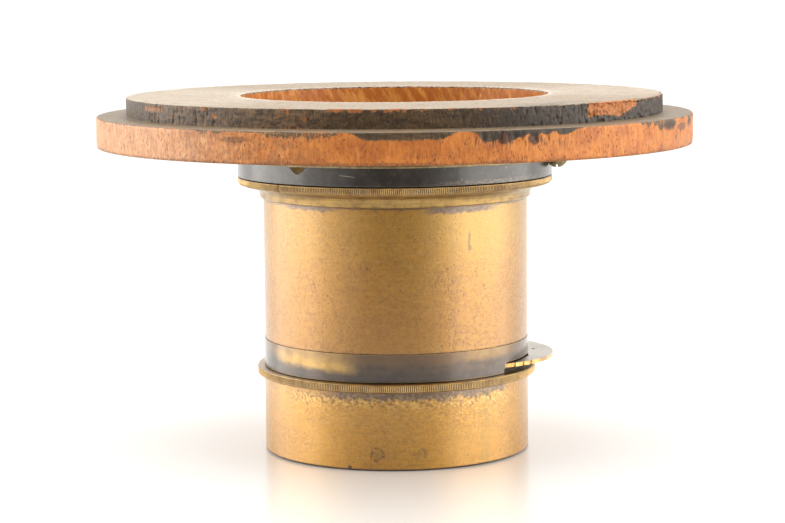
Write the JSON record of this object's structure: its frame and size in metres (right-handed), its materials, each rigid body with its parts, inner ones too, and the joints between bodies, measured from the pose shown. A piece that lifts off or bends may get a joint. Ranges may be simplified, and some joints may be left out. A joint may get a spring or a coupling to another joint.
{
  "type": "brass photographic lens",
  "caption": "Brass view lens with hood, rotating wheel of stops, long tube, rear achromat and flange, on a round rebated wooden lens board.",
  "frame": {"origin": "on the optical axis at the front rim of the hood, which is the surface that the lens stands on", "axes": "+Z is the optical axis, from the front of the lens towards the camera; the wheel of stops stands out on the +X side, and -Y faces the viewer"},
  "size_m": [0.2032, 0.2032, 0.1219],
  "materials": {
    "mahogany": "turned mahogany, worn black stain on the back and the step, bare orange wood on the rim",
    "blackened_brass": "chemically blackened, satin, worn to brass in the screw cuts",
    "green_brass": "dull, with green verdigris",
    "knurled_brass": "fine straight knurl, lacquer worn off",
    "lacquered_brass": "aged lacquer with fine dark pitting and purple tarnish",
    "darkened_brass": "dark tarnish, rubbed bright in places",
    "black_inside": "matt black",
    "screw_brass": "turned, dulled",
    "wheel_brass": "darkened faces, bright worn edge",
    "steel": "dull steel",
    "cell_brass": "turned, lacquered",
    "flint": "polished, clear",
    "crown": "polished, clear"
  },
  "bodies": {
    "hood": {"front_ring": "knurled_brass", "hood_tube": "lacquered_brass"},
    "barrel": {"barrel_tube": "lacquered_brass", "rear_collar": "knurled_brass", "stop_band": "darkened_brass", "stop_plate": "black_inside", "stop_plate_screws": "screw_brass", "pivot_bush": "screw_brass", "wheel_pivot": "screw_brass", "pivot_washer": "steel", "click_spring": "steel", "click_nose": "steel", "click_spring_screw": "screw_brass"},
    "stop_wheel": {"stop_wheel": "wheel_brass"},
    "rear_cell": {"rear_cell": "cell_brass", "flint_glass": "flint", "crown_glass": "crown", "retaining_ring": "cell_brass"},
    "board": {"lens_board": "mahogany", "flange": "blackened_brass", "flange_screws": "green_brass"}
  },
  "joints": [
    {"name": "barrel_unscrew", "type": "slide", "parent": "hood", "child": "barrel", "axis": [0, 0, 1], "range_m": [0, 0.03]},
    {"name": "wheel_turn", "type": "hinge", "parent": "barrel", "child": "stop_wheel", "pos_m": [0.02188, 0.0023, 0.031], "axis": [0, 0, 1], "continuous": true, "deforming": ["click_spring", "click_nose"]},
    {"name": "cell_unscrew", "type": "slide", "parent": "barrel", "child": "rear_cell", "axis": [0, 0, 1], "range_m": [0, 0.03]},
    {"name": "flange_unscrew", "type": "slide", "parent": "barrel", "child": "board", "axis": [0, 0, 1], "range_m": [0, 0.025]}
  ]
}
